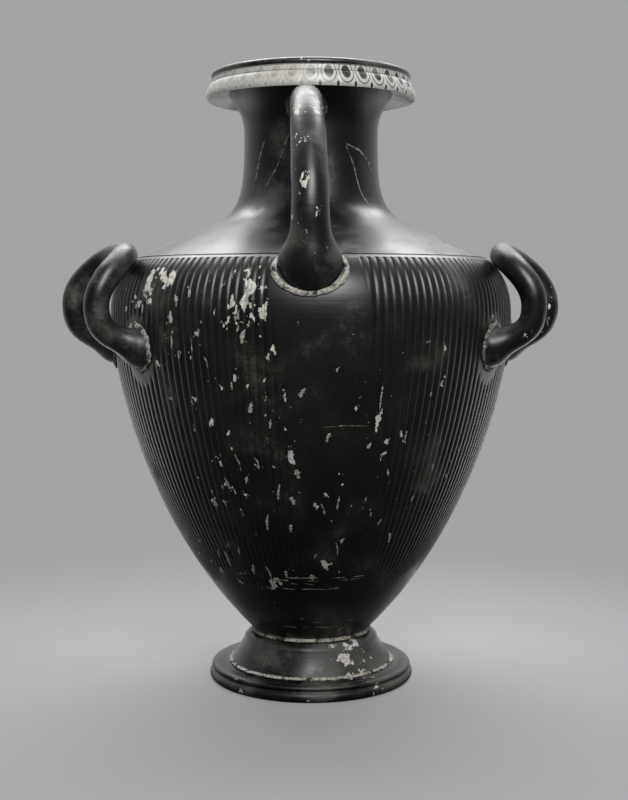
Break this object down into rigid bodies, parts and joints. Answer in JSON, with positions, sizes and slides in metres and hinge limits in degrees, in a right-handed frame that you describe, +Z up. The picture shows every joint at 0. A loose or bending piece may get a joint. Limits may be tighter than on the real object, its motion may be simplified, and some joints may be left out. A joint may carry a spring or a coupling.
{
  "type": "three-handled water jar",
  "caption": "Black-gloss fired-clay water jar with ribbed body, overhanging moulded mouth, two upturned side handles and a tall pouring handle at the back.",
  "frame": {"origin": "on the jar's axis, in the plane that the foot stands on", "axes": "+Z up the jar's axis; -Y towards the tall back handle; +X towards the side handle that is at the right in the picture"},
  "size_m": [0.363, 0.3041, 0.4515],
  "materials": {
    "black_gloss": "aged black gloss, worn and chipped",
    "pale_fill": "matt, ragged",
    "luting_clay": "matt, smeared"
  },
  "bodies": {
    "root": {"foot_plate": "black_gloss", "plate_joint_fill": "pale_fill", "foot_stem": "black_gloss", "body_joint_fill": "pale_fill", "ribbed_bowl": "black_gloss", "shoulder": "black_gloss", "neck": "black_gloss", "mouth_ring": "black_gloss", "back_handle": "black_gloss", "back_handle_lower_luting": "luting_clay", "back_handle_upper_luting": "luting_clay", "right_handle": "black_gloss", "right_handle_near_luting": "luting_clay", "right_handle_far_luting": "luting_clay", "left_handle": "black_gloss", "left_handle_near_luting": "luting_clay", "left_handle_far_luting": "luting_clay"}
  },
  "joints": []
}
